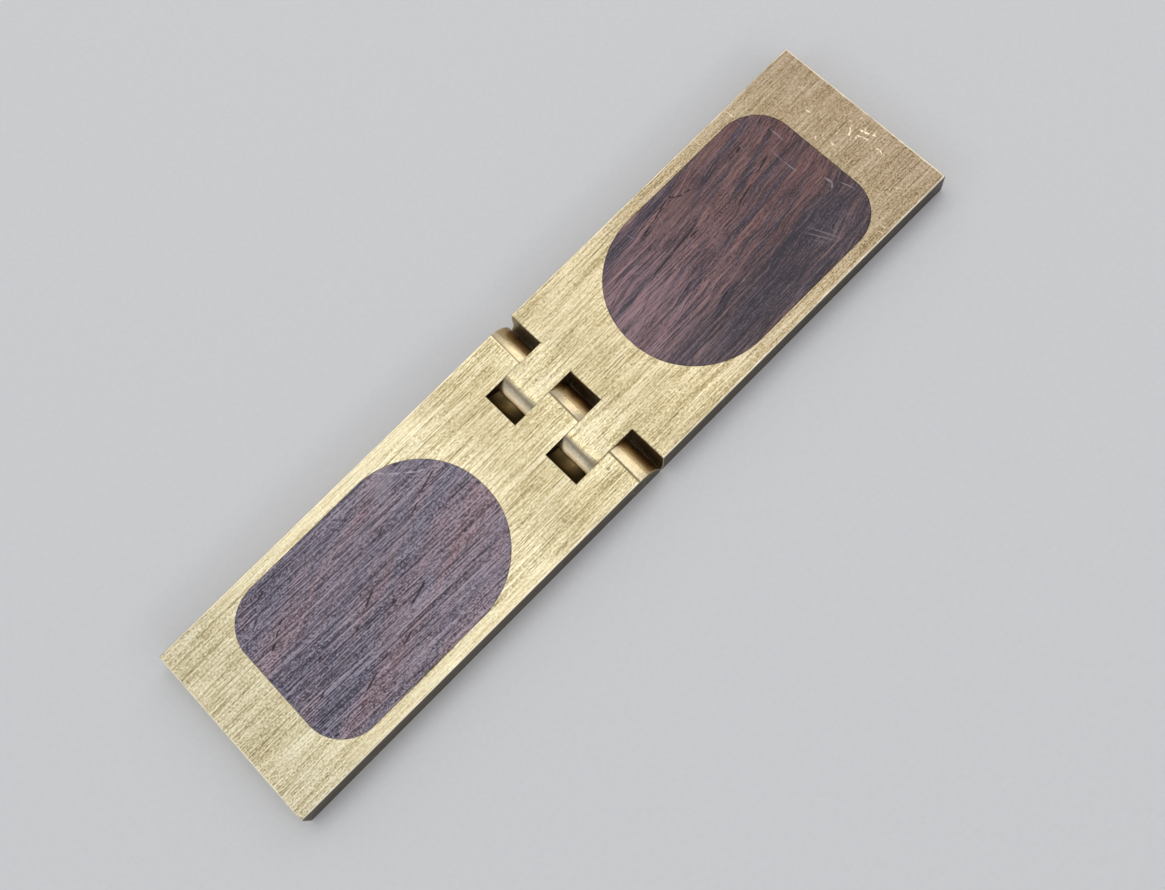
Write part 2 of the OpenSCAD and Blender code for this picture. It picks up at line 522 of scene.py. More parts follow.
def brass(name, leaf):
    g = Graph(name)
    x, y, z = g.x, g.y, g.z
    flat_up = g.rng(g.m('ABSOLUTE', g.nz), 0.90, 0.995)
    side = g.rng(g.m('ABSOLUTE', g.ny), 0.6, 0.95)
    end = g.rng(g.m('ABSOLUTE', g.nx), 0.6, 0.95)
    top = g.rng(z, 3.0, 4.2)

    # brushed lines along the leaf, on the faces and the long edges alike
    wob = g.mad(g.noise(g.vec(g.mul(x, 0.05), g.mul(y, 0.12), g.mul(z, 0.12)), detail=1.0), 0.4, -0.2)
    yy = g.add(y, wob)
    long_line = g.noise(g.vec(g.mul(x, 0.04), g.mul(yy, 2.9), g.mul(z, 2.9)), detail=2.0, rough=0.7)
    line = g.noise(g.vec(g.mul(x, 0.14), g.mul(yy, 4.2), g.mul(z, 4.2)), detail=1.0, rough=0.6)
    grain = g.noise(g.vec(g.mul(x, 1.0), g.mul(yy, 4.6), g.mul(z, 4.6)), detail=1.0, rough=0.6)
    broad = g.noise(g.vec(g.mul(x, 0.03), g.mul(yy, 0.30), g.mul(z, 0.30)), detail=2.0, rough=0.5)
    grit = g.noise(g.vec(g.mul(x, 2.1), g.mul(yy, 3.6), g.mul(z, 3.6)), detail=1.0, rough=0.6)
    thin = g.noise(g.vec(g.mul(x, 0.075), g.mul(yy, 5.0), g.mul(z, 5.0)), detail=1.0, rough=0.5)
    cloud = g.noise(g.P, scale=0.20, detail=3.0, rough=0.6)
    # cross lines on the sawn ends
    cross = g.noise(g.vec(g.mul(x, 3.0), g.mul(y, 0.25), g.mul(z, 2.6)), detail=3.0, rough=0.65)
    line = g.add(line, g.mul(end, g.sub(cross, line)))
    long_line = g.add(long_line, g.mul(end, g.sub(0.5, long_line)))
    lines = g.mad(g.sub(long_line, 0.5), 0.66, g.mul(g.sub(line, 0.5), 1.00))
    lines = g.mad(g.sub(grain, 0.5), 0.60, lines)
    lines = g.mad(g.rng(thin, 0.59, 0.67), -0.27, lines)
    lines = g.mad(g.rng(thin, 0.41, 0.33), 0.20, lines)
    if leaf == 'a':
        tone_f = g.mad(lines, g.rng(x, -80.0, -50.0, 0.76, 0.97), 1.01)
        tone_f = g.mad(g.sub(grit, 0.5), g.rng(x, -80.0, -50.0, 1.22, 1.10), tone_f)
    else:
        tone_f = g.mad(lines, g.rng(x, 8.0, 70.0, 0.86, 0.72), 1.01)
        tone_f = g.mad(g.sub(grit, 0.5), g.rng(x, 8.0, 70.0, 1.15, 1.28), tone_f)
    tone_f = g.mad(g.sub(broad, 0.5), 0.38, tone_f)
    tone_f = g.mad(g.sub(cloud, 0.5), 0.30, tone_f)
    if leaf == 'a':
        margin = g.mul(g.rng(g.m('ABSOLUTE', y), 19.2, 19.8), g.mul(g.rng(x, -80.0, -74.0), g.rng(x, -16.0, -24.0)))
        tone_f = g.mad(g.mul(margin, -0.42), g.sub(tone_f, 1.12), tone_f)
    base = g.ramp(g.rng(tone_f, 0.50, 1.50, smooth=False), [
        (0.00, rgb(138, 125, 94)), (0.22, rgb(177, 165, 130)), (0.38, rgb(206, 196, 162)), (0.50, rgb(222, 213, 182)),
        (0.62, rgb(236, 229, 203)), (0.80, rgb(250, 246, 227)), (1.00, rgb(255, 254, 242))])
    dark = g.rng(tone_f, 0.98, 0.72)

    p2 = g.vec(x, y, 0.0)
    if leaf == 'a':
        # duller towards the free end and between the inlay and the hinge
        tone = g.ramp(g.rng(x, -91.0, 7.0, smooth=False), [
            (0.00, rgb(249, 249, 251)), (0.10, rgb(247, 248, 250)), (0.20, rgb(253, 253, 254)),
            (0.70, rgb(255, 255, 255)), (0.78, rgb(232, 229, 222)), (0.86, rgb(238, 235, 228)),
            (0.94, rgb(252, 251, 247)), (1.00, rgb(252, 251, 247))])
        base = g.mix(1.0, base, tone, 'MULTIPLY')
        pits = [(-0.9, -15.75, 0.42), (-7.2, 19.0, 0.16), (-4.1, 15.9, 0.20), (-6.1, 18.0, 0.15), (1.2, 0.3, 0.24),
                (-62.0, 20.9, 0.14), (-86.4, -6.6, 0.15), (-83.0, 11.0, 0.13), (-17.0, -9.2, 0.14), (-14.2, -16.4, 0.18)]
        marks = [(-89.5, 17.8, -84.9, 18.6, 0.16, 0.35), (-88.8, 8.2, -82.4, 7.9, 0.12, 0.35),
                 (-12.0, 10.6, -9.2, 8.1, 0.10, 0.25), (-72.0, -20.6, -58.0, -20.3, 0.10, 0.45),
                 (-52.0, 20.5, -38.0, 20.8, 0.10, 0.40)]
    else:
        # darker and browner towards the free end: partly patina, partly painted falloff of the reflected light along
        # the leaf
        tone = g.ramp(g.rng(x, -5.0, 91.0, smooth=False), [
            (0.00, rgb(250, 250, 250)), (0.12, rgb(246, 245, 242)), (0.18, rgb(230, 226, 219)),
            (0.32, rgb(244, 240, 235)), (0.46, rgb(222, 215, 212)), (0.60, rgb(216, 207, 203)), (0.80, rgb(202, 192, 190)),
            (1.00, rgb(200, 188, 190))])
        base = g.mix(1.0, base, tone, 'MULTIPLY')
        pits = [(2.05, 8.2, 0.26), (3.2, 11.8, 0.16), (2.55, 6.1, 0.15), (10.2, 12.4, 0.22), (12.6, -17.0, 0.13),
                (81.5, 5.4, 0.15), (84.4, -15.8, 0.14)]
        marks = [(-0.3, -7.0, 1.4, -6.1, 0.08, 0.25), (1.4, -6.1, 3.2, -6.0, 0.08, 0.20),
                 (8.1, -13.2, 8.1, 13.2, 0.07, 0.30)]
    pw = g.noise(g.P, scale=3.0, detail=2.0)
    pp = g.vec(g.mad(pw, 0.30, g.sub(x, 0.15)), g.mad(grit, 0.30, g.sub(y, 0.15)), 0.0)
    pit = strokes(g, pp, [(px - pr * 0.4, py, px + pr * 0.4, py + 0.03, pr, 1.0) for px, py, pr in pits])
    # scattered pin pricks
    spots = g.noise(g.vec(g.mul(x, 1.1), g.mul(y, 1.7), g.mul(z, 1.7)), detail=1.0)
    pit = g.m('MAXIMUM', g.mul(pit, g.mul(top, flat_up)), g.mul(g.rng(spots, 0.735, 0.80), 0.6))
    mark = g.mul(strokes(g, p2, marks), g.mul(top, flat_up))
    base = g.mix(g.mul(pit, 0.62), base, rgb(96, 84, 58))
    base = g.mix(mark, base, rgb(140, 124, 90))

    if leaf == 'b':
        bright = [(83.0, 9.4, 83.2, 7.9, 0.15, 1.0), (85.9, 14.2, 86.1, 12.6, 0.10, 0.7), (86.1, 12.4, 86.9, 12.0, 0.10, 0.7), (86.2, 13.9, 86.8, 12.8, 0.09, 0.6),
                  (84.6, -1.6, 85.2, -1.05, 0.24, 1.0), (85.2, -1.05, 85.8, -1.0, 0.18, 0.9), (85.7, -1.0, 86.15, -0.25, 0.17, 1.0), (86.4, -0.5, 86.8, -0.4, 0.12, 0.7),
                  (84.9, -3.1, 85.6, -2.65, 0.13, 0.8), (85.6, -2.6, 86.1, -3.75, 0.19, 0.9), (86.1, -3.75, 86.55, -5.5, 0.20, 0.85),
                  (87.0, -2.2, 87.25, -3.2, 0.24, 1.0), (87.2, -3.1, 87.6, -4.6, 0.32, 1.0), (88.0, -2.6, 87.6, -3.6, 0.14, 0.9), (87.8, -4.9, 88.1, -5.7, 0.22, 1.0), (88.4, -5.0, 88.1, -5.5, 0.16, 0.9),
                  (86.1, -7.6, 86.35, -8.4, 0.16, 0.9), (86.35, -8.4, 85.9, -9.4, 0.16, 0.9), (80.95, 0.3, 80.85, -1.3, 0.15, 0.9), (80.3, -0.4, 81.2, -0.5, 0.13, 0.8),
                  (80.0, 3.75, 79.3, 2.85, 0.15, 0.75), (80.4, 4.7, 79.9, 3.9, 0.12, 0.5), (82.8, 0.6, 83.6, 0.8, 0.20, 0.5), (80.4, 2.3, 80.8, 1.3, 0.22, 0.45),
                  (87.2, 1.0, 87.4, 0.2, 0.12, 0.7), (87.6, 2.7, 87.8, 1.9, 0.10, 0.5), (89.2, -0.4, 89.3, -1.1, 0.12, 0.7),
                  (81.9, -16.0, 83.0, -18.0, 0.11, 0.7), (72.6, -20.2, 73.0, -21.5, 0.14, 0.8), (74.0, -19.8, 74.3, -21.7, 0.12, 0.8), (74.6, -19.6, 74.9, -20.6, 0.10, 0.6),
                  (71.5, 21.7, 71.7, 18.9, 0.13, 0.8), (62.1, 21.8, 62.4, 19.6, 0.10, 0.5), (86.8, 16.4, 87.4, 15.2, 0.09, 0.5),
                  (84.0, -12.0, 84.3, -13.0, 0.08, 0.4),
                  (19.0, -12.6, 20.8, -15.6, 0.20, 0.5), (17.6, -11.8, 18.4, -16.4, 0.20, 0.45), (20.4, -10.8, 19.6, -16.0, 0.16, 0.4)]
    else:
        bright = [(-90.55, -20.9, -90.1, -21.9, 0.24, 1.0), (-89.0, 15.0, -89.4, 5.0, 0.20, 0.4), (-86.0, -18.0, -84.2, -20.4, 0.12, 0.35),
                  (-66.0, 20.2, -60.2, 20.9, 0.08, 0.4), (-34.0, -20.4, -29.0, -20.9, 0.09, 0.4)]
    wp = g.vec(g.mad(grit, 0.5, g.sub(x, 0.25)), g.mad(pw, 0.5, g.sub(y, 0.25)), 0.0)
    glint = g.mul(strokes(g, wp, bright), g.mul(top, flat_up))
    base = g.mix(g.mul(glint, 0.95), base, rgb(255, 244, 222))

    # rubbed bright along the corners, and a painted highlight on the edge bevels
    corner_wear_and_highlight = g.mul(g.rng(g.m('MAXIMUM', g.m('ABSOLUTE', g.nz), g.m('MAXIMUM', g.m('ABSOLUTE', g.ny), g.m('ABSOLUTE', g.nx))), 0.985, 0.90),
                   g.m('MAXIMUM', g.rng(g.m('ABSOLUTE', y), HALF - 0.5, HALF - 0.3), g.rng(g.m('ABSOLUTE', x), END - 0.5, END - 0.3)))
    base = g.mix(g.mul(corner_wear_and_highlight, 0.9), base, rgb(255, 251, 240))
    edge_d = g.m('MINIMUM', g.sub(HALF, g.m('ABSOLUTE', y)), g.sub(END, g.m('ABSOLUTE', x)))
    # a strip of the top and bottom faces along the outer edges painted brighter: worn edge and painted highlight of
    # the bevel
    rim_wear_and_highlight = g.mul(g.rng(g.add(edge_d, g.mul(g.sub(cloud, 0.5), 0.5)), 0.42, 0.24), flat_up)
    base = g.mix(g.mul(rim_wear_and_highlight, 0.75), base, rgb(252, 247, 234))

    # the rounded noses that fingers never polish, with tarnish and painted shade and highlight; the outer side walls
    # darker, the near one with painted shade; painted shade in the slot coves; the inner walls darker
    if leaf == 'a':
        # A noses: a pale band where the round begins, then darker towards the tip, partly tarnish and partly painted
        # shade, with a thin dark line near the start of the round
        nose_painted_shading = g.ramp(g.rng(x, 2.0, 6.6, smooth=False), [
            (0.00, rgb(255, 252, 244)), (0.02, rgb(255, 250, 240)), (0.29, rgb(255, 248, 236)), (0.31, rgb(232, 220, 200)),
            (0.33, rgb(255, 248, 234)), (0.355, rgb(255, 246, 230)), (0.375, rgb(212, 198, 176)), (0.50, rgb(220, 202, 176)),
            (0.66, rgb(216, 194, 166)), (0.80, rgb(208, 188, 166)), (1.00, rgb(210, 196, 180))])
        on_nose = g.mul(g.rng(x, 1.9, 2.1), g.sub(1.0, g.mul(side, g.rng(g.m('ABSOLUTE', y), 22.0, 22.2))))
        base = g.mix(g.mul(on_nose, 0.75), base, rgb(250, 242, 222))
        base = g.mix(on_nose, base, g.mix(1.0, base, nose_painted_shading, 'MULTIPLY'))
        # a thin dark line at the start of the round
        lx = g.sub(x, g.mad(y, 0.0225, FLAT_A))
        round_start_line = g.mul(g.rng(g.m('ABSOLUTE', g.sub(lx, 0.12)), 0.32, 0.14), flat_up)
        base = g.mix(g.mul(round_start_line, 0.88), base, rgb(122, 106, 78))
        # painted shade in leaf A's slot coves, with some patina
        slot_cove_shade = g.mul(g.rng(x, SLOT_A + 0.02, SLOT_A + 0.12), g.mul(g.rng(x, -2.6, -3.2), g.rng(z, T - 0.02, T - 0.35)))
        slot_cove_shade = g.mul(slot_cove_shade, g.rng(g.m('ABSOLUTE', y), 13.6, 13.36))
        base = g.mix(g.mul(slot_cove_shade, 0.94), base, rgb(112, 95, 62))
    else:
        # B noses: a grey band across the middle of the round and a bright band towards the tip, painted shade and
        # painted highlight of the round
        nose_painted_shading = g.ramp(g.rng(x, -0.2, -4.7, smooth=False), [
            (0.00, rgb(255, 255, 252)), (0.24, rgb(255, 253, 246)), (0.29, rgb(236, 232, 224)), (0.36, rgb(194, 190, 184)),
            (0.49, rgb(198, 195, 190)), (0.56, rgb(188, 185, 181)), (0.62, rgb(184, 182, 180)), (0.69, rgb(192, 190, 190)),
            (0.76, rgb(224, 222, 222)), (0.82, rgb(255, 254, 254)), (1.00, rgb(255, 255, 255))])
        on_nose = g.mul(g.rng(x, 0.0, -0.3), g.rng(z, 3.1, 3.2))
        base = g.mix(g.mul(on_nose, g.rng(x, -1.4, -2.0, 0.0, 0.66)), base, rgb(246, 238, 220))
        base = g.mix(on_nose, base, g.mix(1.0, base, nose_painted_shading, 'MULTIPLY'))
    # the outer side walls darkened: a light tarnish on the far (+y) wall, and much darker painted shade on the near
    # (−y) wall
    wall = g.mul(side, g.rng(g.m('ABSOLUTE', y), 22.0, 22.1))
    side_wall_tarnish_and_shade = g.mix(g.rng(y, -1.0, 1.0), rgb(96, 82, 62), rgb(196, 182, 156))
    base = g.mix(g.mul(wall, 0.98), base, g.mix(1.0, base, side_wall_tarnish_and_shade, 'MULTIPLY'))
    inner = g.mul(g.add(side, end), g.rng(g.m('ABSOLUTE', y), 22.15, 22.0))
    inner = g.mul(inner, g.rng(g.m('ABSOLUTE', x), 60.0, 50.0))
    base = g.mix(g.m('MINIMUM', g.mul(inner, 0.85), 1.0), base, g.mix(1.0, base, rgb(186, 168, 146), 'MULTIPLY'))

    base = g.mix(1.0, base, rgb(251, 246, 235), 'MULTIPLY')

    rough = g.mad(dark, 0.10, 0.34)
    rough = g.mad(g.rng(cloud, 0.35, 0.7), 0.06, rough)
    rough = g.mad(pit, 0.15, rough)
    rough = g.m('SUBTRACT', rough, g.mul(glint, 0.10))
    # filed, not brushed: the noses are a little smoother
    rough = g.m('SUBTRACT', rough, g.mul(on_nose, 0.08))

    height = g.mul(line, 0.012)
    height = g.mad(long_line, 0.016, height)
    height = g.mad(grain, 0.006, height)
    height = g.mad(grit, 0.004, height)
    height = g.mad(pit, -0.060, height)
    if leaf == 'b':
        # the file left the steep half of each nose slightly facetted upwards
        t = g.m('MINIMUM', g.m('MAXIMUM', g.sub(6.1, z), 0.0), 2.7)
        height = g.mad(g.mul(t, t), g.mul(g.rng(x, -1.2, -1.5), 0.25), height)
    bump = g.nt.nodes.new('ShaderNodeBump')
    bump.inputs['Strength'].default_value = 1.0
    bump.inputs['Distance'].default_value = 0.001
    g.put(bump.inputs['Height'], height)

    b = g.nt.nodes.new('ShaderNodeBsdfPrincipled')
    b.inputs['Metallic'].default_value = 1.0
    g.put(b.inputs['Base Color'], base)
    g.put(b.inputs['Roughness'], rough)
    g.put(b.inputs['Normal'], bump.outputs[0])
    g.nt.links.new(b.outputs[0], g.out.inputs['Surface'])
    return g.mat


def pin_brass():
    g = Graph("turned_brass")
    r = g.m('SQRT', g.add(g.m('POWER', g.sub(g.x, PIN_X), 2.0), g.m('POWER', g.sub(g.z, MID), 2.0)))
    end = g.rng(g.m('ABSOLUTE', g.y), HALF - 0.4, HALF - 0.2)
    rings = g.noise(g.vec(g.mul(r, 7.0), g.mul(g.y, 0.02), 0.0), detail=2.0)
    turned = g.noise(g.vec(g.mul(g.x, 0.8), g.mul(g.y, 5.0), g.mul(g.z, 0.8)), detail=3.0, rough=0.6)
    file_marks = g.noise(g.vec(g.mul(g.x, 0.35), g.mul(g.y, 4.0), g.mul(g.z, 4.6)), detail=3.0, rough=0.6)
    grain = g.add(turned, g.mul(end, g.sub(g.mad(file_marks, 0.7, g.mul(rings, 0.3)), turned)))
    grit = g.noise(g.P, scale=2.6, detail=3.0, rough=0.6)
    base = g.mix(g.mul(g.rng(grain, 0.48, 0.72), 0.5), rgb(214, 196, 150), rgb(140, 120, 80))
    base = g.mix(g.mul(g.rng(grit, 0.4, 0.7), 0.3), base, rgb(168, 148, 108))
    # the pin's ends darkened like the side walls: a light tarnish at the far (+y) end, painted shade at the near (−y)
    # end
    pin_end_tarnish_and_shade = g.mix(g.rng(g.y, -1.0, 1.0), rgb(104, 92, 72), rgb(206, 192, 166))
    base = g.mix(end, base, g.mix(1.0, base, pin_end_tarnish_and_shade, 'MULTIPLY'))
    base = g.mix(g.mul(g.rng(r, PIN_R - 0.16, PIN_R), g.mul(end, 0.6)), base, rgb(70, 58, 40))
    bump = g.nt.nodes.new('ShaderNodeBump')
    bump.inputs['Distance'].default_value = 0.001
    g.put(bump.inputs['Height'], g.mad(grain, -0.012, g.mul(grit, -0.005)))
    b = g.nt.nodes.new('ShaderNodeBsdfPrincipled')
    b.inputs['Metallic'].default_value = 1.0
    g.put(b.inputs['Base Color'], base)
    g.put(b.inputs['Roughness'], g.mad(grain, 0.18, 0.28))
    g.put(b.inputs['Normal'], bump.outputs[0])
    g.nt.links.new(b.outputs[0], g.out.inputs['Surface'])
    return g.mat


# ---------------------------------------------------------------- rosewood

def turned_coords(g, deg, x, y):
    c, s = math.cos(math.radians(deg)), math.sin(math.radians(deg))
    u = g.mad(x, c, g.mul(y, s))
    v = g.mad(y, c, g.mul(x, -s))
    return u, v


def rosewood_a():
    g = Graph("rosewood_a")
    x, y, z = g.x, g.y, g.z
    top = g.rng(z, 4.0, 5.0)
    zz = g.mul(z, 0.55)
    w1 = g.mad(g.noise(g.vec(g.mul(x, 0.035), g.mul(y, 0.06), zz), detail=2.0), 7.0, -3.5)
    w2 = g.mad(g.noise(g.vec(g.mul(x, 0.2), g.mul(y, 0.3), zz), detail=2.0), 1.0, -0.5)
    u, v = turned_coords(g, 19.0, x, y)
    vw = g.add(v, g.add(w1, w2))
    band = g.noise(g.vec(g.mul(u, 0.018), g.mul(vw, 0.17), zz), detail=3.0, rough=0.55)
    band2 = g.noise(g.vec(g.mul(u, 0.03), g.mul(vw, 0.60), g.add(zz, 7.0)), detail=3.0, rough=0.6)
    fibre = g.noise(g.vec(g.mul(u, 0.12), g.mul(vw, 2.6), zz), detail=3.0, rough=0.65)
    fibre2 = g.noise(g.vec(g.mul(u, 0.5), g.mul(vw, 6.5), zz), detail=2.0, rough=0.6)
    cloud = g.noise(g.P, scale=0.10, detail=3.0, rough=0.55)
    grit = g.noise(g.vec(g.mul(x, 3.3), g.mul(y, 5.0), g.mul(z, 4.0)), detail=1.0, rough=0.6)
    yw = g.add(g.mad(x, 0.036, y), g.mad(g.noise(g.vec(g.mul(x, 0.05), g.mul(y, 0.12), zz), detail=1.0), 0.5, -0.25))
    scr = g.noise(g.vec(g.mul(x, 0.07), g.mul(yw, 6.0), zz), detail=1.0, rough=0.6)
    scr2 = g.noise(g.vec(g.mul(x, 0.03), g.mul(yw, 1.7), g.add(zz, 3.0)), detail=3.0, rough=0.7)
    scr3 = g.noise(g.vec(g.mul(x, 0.36), g.mul(yw, 5.4), g.add(zz, 5.0)), detail=1.0, rough=0.6)

    K = 1.0
    slate = rgb(94, 93, 118, K)
    mauve = rgb(124, 110, 126, K)
    rose = rgb(147, 116, 123, K)
    col = g.ramp(g.rng(band, 0.34, 0.66, smooth=False), [
        (0.0, slate), (0.35, rgb(106, 100, 122, K)), (0.55, mauve), (0.75, rgb(137, 113, 124, K)), (1.0, rose)])
    p2 = g.vec(g.mad(fibre, 0.8, g.sub(x, 0.4)), g.mad(band2, 1.6, g.sub(y, 0.8)), 0.0)
    rosy = strokes(g, p2, [(-61.0, -11.0, -40.0, -1.0, 3.2, 1.0), (-44.0, -4.0, -20.0, 6.0, 2.6, 1.0),
                           (-76.0, -16.8, -48.0, -10.6, 3.0, 1.0), (-78.0, 2.4, -66.0, 8.8, 1.6, 0.8),
                           (-40.0, -6.2, -22.0, -1.6, 2.6, 0.9), (-36.0, 6.2, -23.0, 10.8, 1.6, 0.6),
                           (-76.0, 12.6, -70.0, 18.6, 1.5, 0.7), (-60.0, -3.6, -48.0, 1.2, 1.2, 0.5),
                           (-34.0, -13.0, -22.0, -9.0, 2.0, 0.5)])
    col = g.mix(g.mul(g.mul(rosy, top), 0.56), col, rgb(149, 113, 118, K))
    bluish = strokes(g, p2, [(-76.0, 9.6, -60.0, 15.0, 2.4, 1.0), (-40.0, 14.0, -28.0, 18.0, 3.0, 0.6), (-34.0, 2.6, -22.0, 5.6, 1.4, 0.9),
                             (-74.0, -6.0, -58.0, -1.0, 2.4, 0.7), (-70.0, -13.0, -54.0, -8.4, 1.2, 0.8), (-58.0, 6.0, -40.0, 12.0, 2.6, 0.6)])
    col = g.mix(g.mul(g.mul(bluish, top), 0.50), col, rgb(92, 95, 126, K))
    col = g.mix(g.mul(g.rng(cloud, 0.35, 0.70), 0.30), col, rgb(136, 132, 148, K))
    col = g.mix(g.mul(g.rng(band2, 0.52, 0.74), 0.25), col, rgb(84, 76, 94, K))
    pores = g.mul(g.rng(fibre2, 0.60, 0.74), g.rng(band, 0.36, 0.60))
    col = g.mix(g.mul(pores, 0.50), col, rgb(60, 50, 62, K))
    col = g.mix(g.mul(g.rng(grit, 0.40, 0.66), 0.22), col, rgb(88, 82, 98, K))
    # rubbed lines along the tool
    f = g.mad(g.sub(scr2, 0.5), 0.55, g.rng(x, -76.0, -36.0, 1.05, 1.15))
    f = g.mad(g.sub(scr, 0.5), 3.3, f)
    f = g.mad(g.rng(scr, 0.60, 0.69), 0.55, f)
    f = g.mad(g.rng(scr, 0.40, 0.31), -0.40, f)
    f = g.mad(g.sub(scr3, 0.5), 1.9, f)
    f = g.mad(g.sub(fibre, 0.5), 0.7, f)
    f = g.mad(g.sub(grit, 0.5), 5.3, f)
    f = g.m('MAXIMUM', f, 0.18)
    col = g.scale_col(col, f)
    col = g.mix(g.mul(g.rng(f, 0.90, 0.30), 0.45), col, rgb(52, 50, 76, K))
    col = g.mix(g.mul(g.rng(f, 1.15, 1.8), 0.60), col, rgb(192, 188, 206, K))
    ps = g.vec(x, g.mad(scr2, 0.5, g.sub(y, 0.25)), 0.0)
    rub = strokes(g, ps, [(-72.0, 12.2, -22.0, 11.6, 0.13, 0.9), (-77.0, 7.4, -46.0, 6.4, 0.14, 0.9), (-60.0, 6.8, -30.0, 6.0, 0.10, 0.7),
                          (-70.0, 4.3, -58.0, 4.3, 0.10, 0.8), (-77.0, -0.9, -52.0, -1.6, 0.10, 0.7), (-70.0, -5.8, -40.0, -6.6, 0.13, 0.8),
                          (-76.0, -7.6, -44.0, -8.2, 0.15, 0.9), (-64.0, -9.4, -36.0, -9.3, 0.14, 0.9), (-60.0, -12.4, -34.0, -12.7, 0.12, 0.7),
                          (-44.0, -14.2, -26.0, -14.3, 0.12, 0.6), (-66.0, 15.6, -48.0, 15.2, 0.10, 0.5), (-44.0, 9.2, -24.0, 8.9, 0.10, 0.6),
                          (-50.0, 2.6, -30.0, 2.2, 0.10, 0.5), (-74.0, 9.9, -60.0, 9.6, 0.10, 0.6)])
    col = g.mix(g.mul(g.mul(rub, top), 0.66), col, rgb(192, 188, 204, K))
    rubd = strokes(g, ps, [(-77.0, 8.0, -52.0, 7.0, 0.16, 0.8), (-66.0, 6.3, -44.0, 5.7, 0.14, 0.8), (-77.0, -3.8, -56.0, -4.2, 0.16, 0.8),
                           (-74.0, -8.2, -52.0, -9.0, 0.14, 0.8), (-38.0, -7.0, -24.0, -7.4, 0.12, 0.7), (-50.0, -10.0, -34.0, -10.1, 0.12, 0.6)])
    col = g.mix(g.mul(g.mul(rubd, top), 0.66), col, rgb(58, 58, 82, K))
    # a pale bruise with a hooked hairline
    bruise = strokes(g, p2, [(-38.0, 14.0, -32.0, 17.2, 2.8, 1.0), (-36.6, 9.6, -37.2, 16.0, 1.3, 0.6)])
    col = g.mix(g.mul(g.mul(bruise, top), 0.52), col, rgb(172, 168, 186, K))
    hairline = strokes(g, g.vec(x, y, 0.0), [(-34.7, 18.4, -33.1, 16.3, 0.20, 0.9), (-33.1, 16.3, -30.6, 14.1, 0.20, 0.9), (-30.6, 14.1, -28.1, 11.9, 0.20, 1.0),
                                             (-28.6, 12.2, -26.6, 11.2, 0.22, 0.8), (-27.2, 11.6, -27.6, 10.6, 0.12, 0.6)])
    col = g.mix(g.mul(g.mul(hairline, top), 0.92), col, rgb(204, 202, 220, K))
    # open pores and cracks
    pc = g.vec(g.mad(grit, 0.5, g.sub(x, 0.25)), g.mad(fibre2, 0.55, g.sub(y, 0.27)), 0.0)
    cracks = strokes(g, pc, [(-59.0, -3.0, -57.3, -2.3, 0.29, 1.0), (-54.7, -1.0, -50.0, 1.3, 0.29, 1.0), (-47.8, -7.1, -44.6, -6.2, 0.22, 1.0),
                             (-45.4, -6.5, -41.9, -5.3, 0.30, 1.0), (-73.7, -8.0, -70.3, -6.7, 0.21, 0.9), (-68.4, -2.0, -66.6, -1.4, 0.22, 0.9),
                             (-65.6, -13.0, -60.6, -11.8, 0.22, 0.9), (-54.7, -11.8, -49.4, -10.6, 0.21, 0.8), (-35.0, 6.3, -32.2, 7.6, 0.18, 0.9),
                             (-32.2, 8.1, -24.4, 10.2, 0.18, 0.8), (-43.0, 8.0, -41.0, 8.6, 0.18, 0.9), (-74.0, 12.0, -71.2, 13.6, 0.22, 0.9),
                             (-69.7, 16.1, -66.6, 16.6, 0.25, 0.9), (-73.7, 6.3, -71.9, 7.1, 0.31, 1.0), (-69.4, 9.1, -67.8, 9.8, 0.25, 1.0),
                             (-71.4, 7.6, -69.8, 8.6, 0.18, 0.8), (-75.6, -14.9, -74.4, -15.3, 0.34, 0.9), (-37.2, 10.4, -36.2, 10.6, 0.22, 0.8),
                             (-59.4, -11.0, -56.8, -10.6, 0.16, 0.7), (-50.6, -4.4, -48.8, -3.6, 0.31, 0.6), (-57.2, -4.4, -55.6, -4.0, 0.22, 0.7)])
    cracks = g.mul(g.rng(cracks, 0.15, 0.60), top)
    col = g.mix(g.mul(cracks, 0.92), col, rgb(38, 30, 40, K))
    rust = strokes(g, pc, [(-32.2, 0.1, -30.0, 0.5, 0.24, 1.0), (-25.6, 0.2, -21.6, 0.5, 0.22, 0.9), (-35.0, -2.2, -33.6, -1.8, 0.22, 0.9), (-29.4, -2.6, -28.0, -2.4, 0.18, 0.8),
                           (-30.6, 5.2, -28.4, 6.2, 0.20, 0.7), (-36.6, -9.0, -33.4, -7.9, 0.16, 0.7)])
    col = g.mix(g.mul(g.mul(rust, top), 0.80), col, rgb(92, 54, 58, K))

    col = g.mix(1.0, col, rgb(252, 243, 236), 'MULTIPLY')
    rough = g.mad(fibre, 0.20, 0.34)
    rough = g.mad(pores, 0.15, rough)
    height = g.mad(fibre, -0.020, g.mul(pores, -0.030))
    height = g.mad(fibre2, -0.008, height)
    height = g.mad(cracks, -0.120, height)
    height = g.mad(scr, 0.012, height)
    height = g.mad(scr2, -0.008, height)
    height = g.mad(grit, -0.006, height)
    finish_wood(g, col, rough, height)
    return g.mat


def finish_wood(g, col, rough, height):
    end = g.rng(g.m('ABSOLUTE', g.nz), 0.7, 0.2)
    col = g.mix(g.mul(end, 0.6), col, rgb(52, 40, 44))
    bump = g.nt.nodes.new('ShaderNodeBump')
    bump.inputs['Strength'].default_value = 1.0
    bump.inputs['Distance'].default_value = 0.001
    g.put(bump.inputs['Height'], height)
    b = g.nt.nodes.new('ShaderNodeBsdfPrincipled')
    b.inputs['IOR'].default_value = 1.45
    g.put(b.inputs['Base Color'], col)
    g.put(b.inputs['Roughness'], rough)
    g.put(b.inputs['Normal'], bump.outputs[0])
    g.nt.links.new(b.outputs[0], g.out.inputs['Surface'])


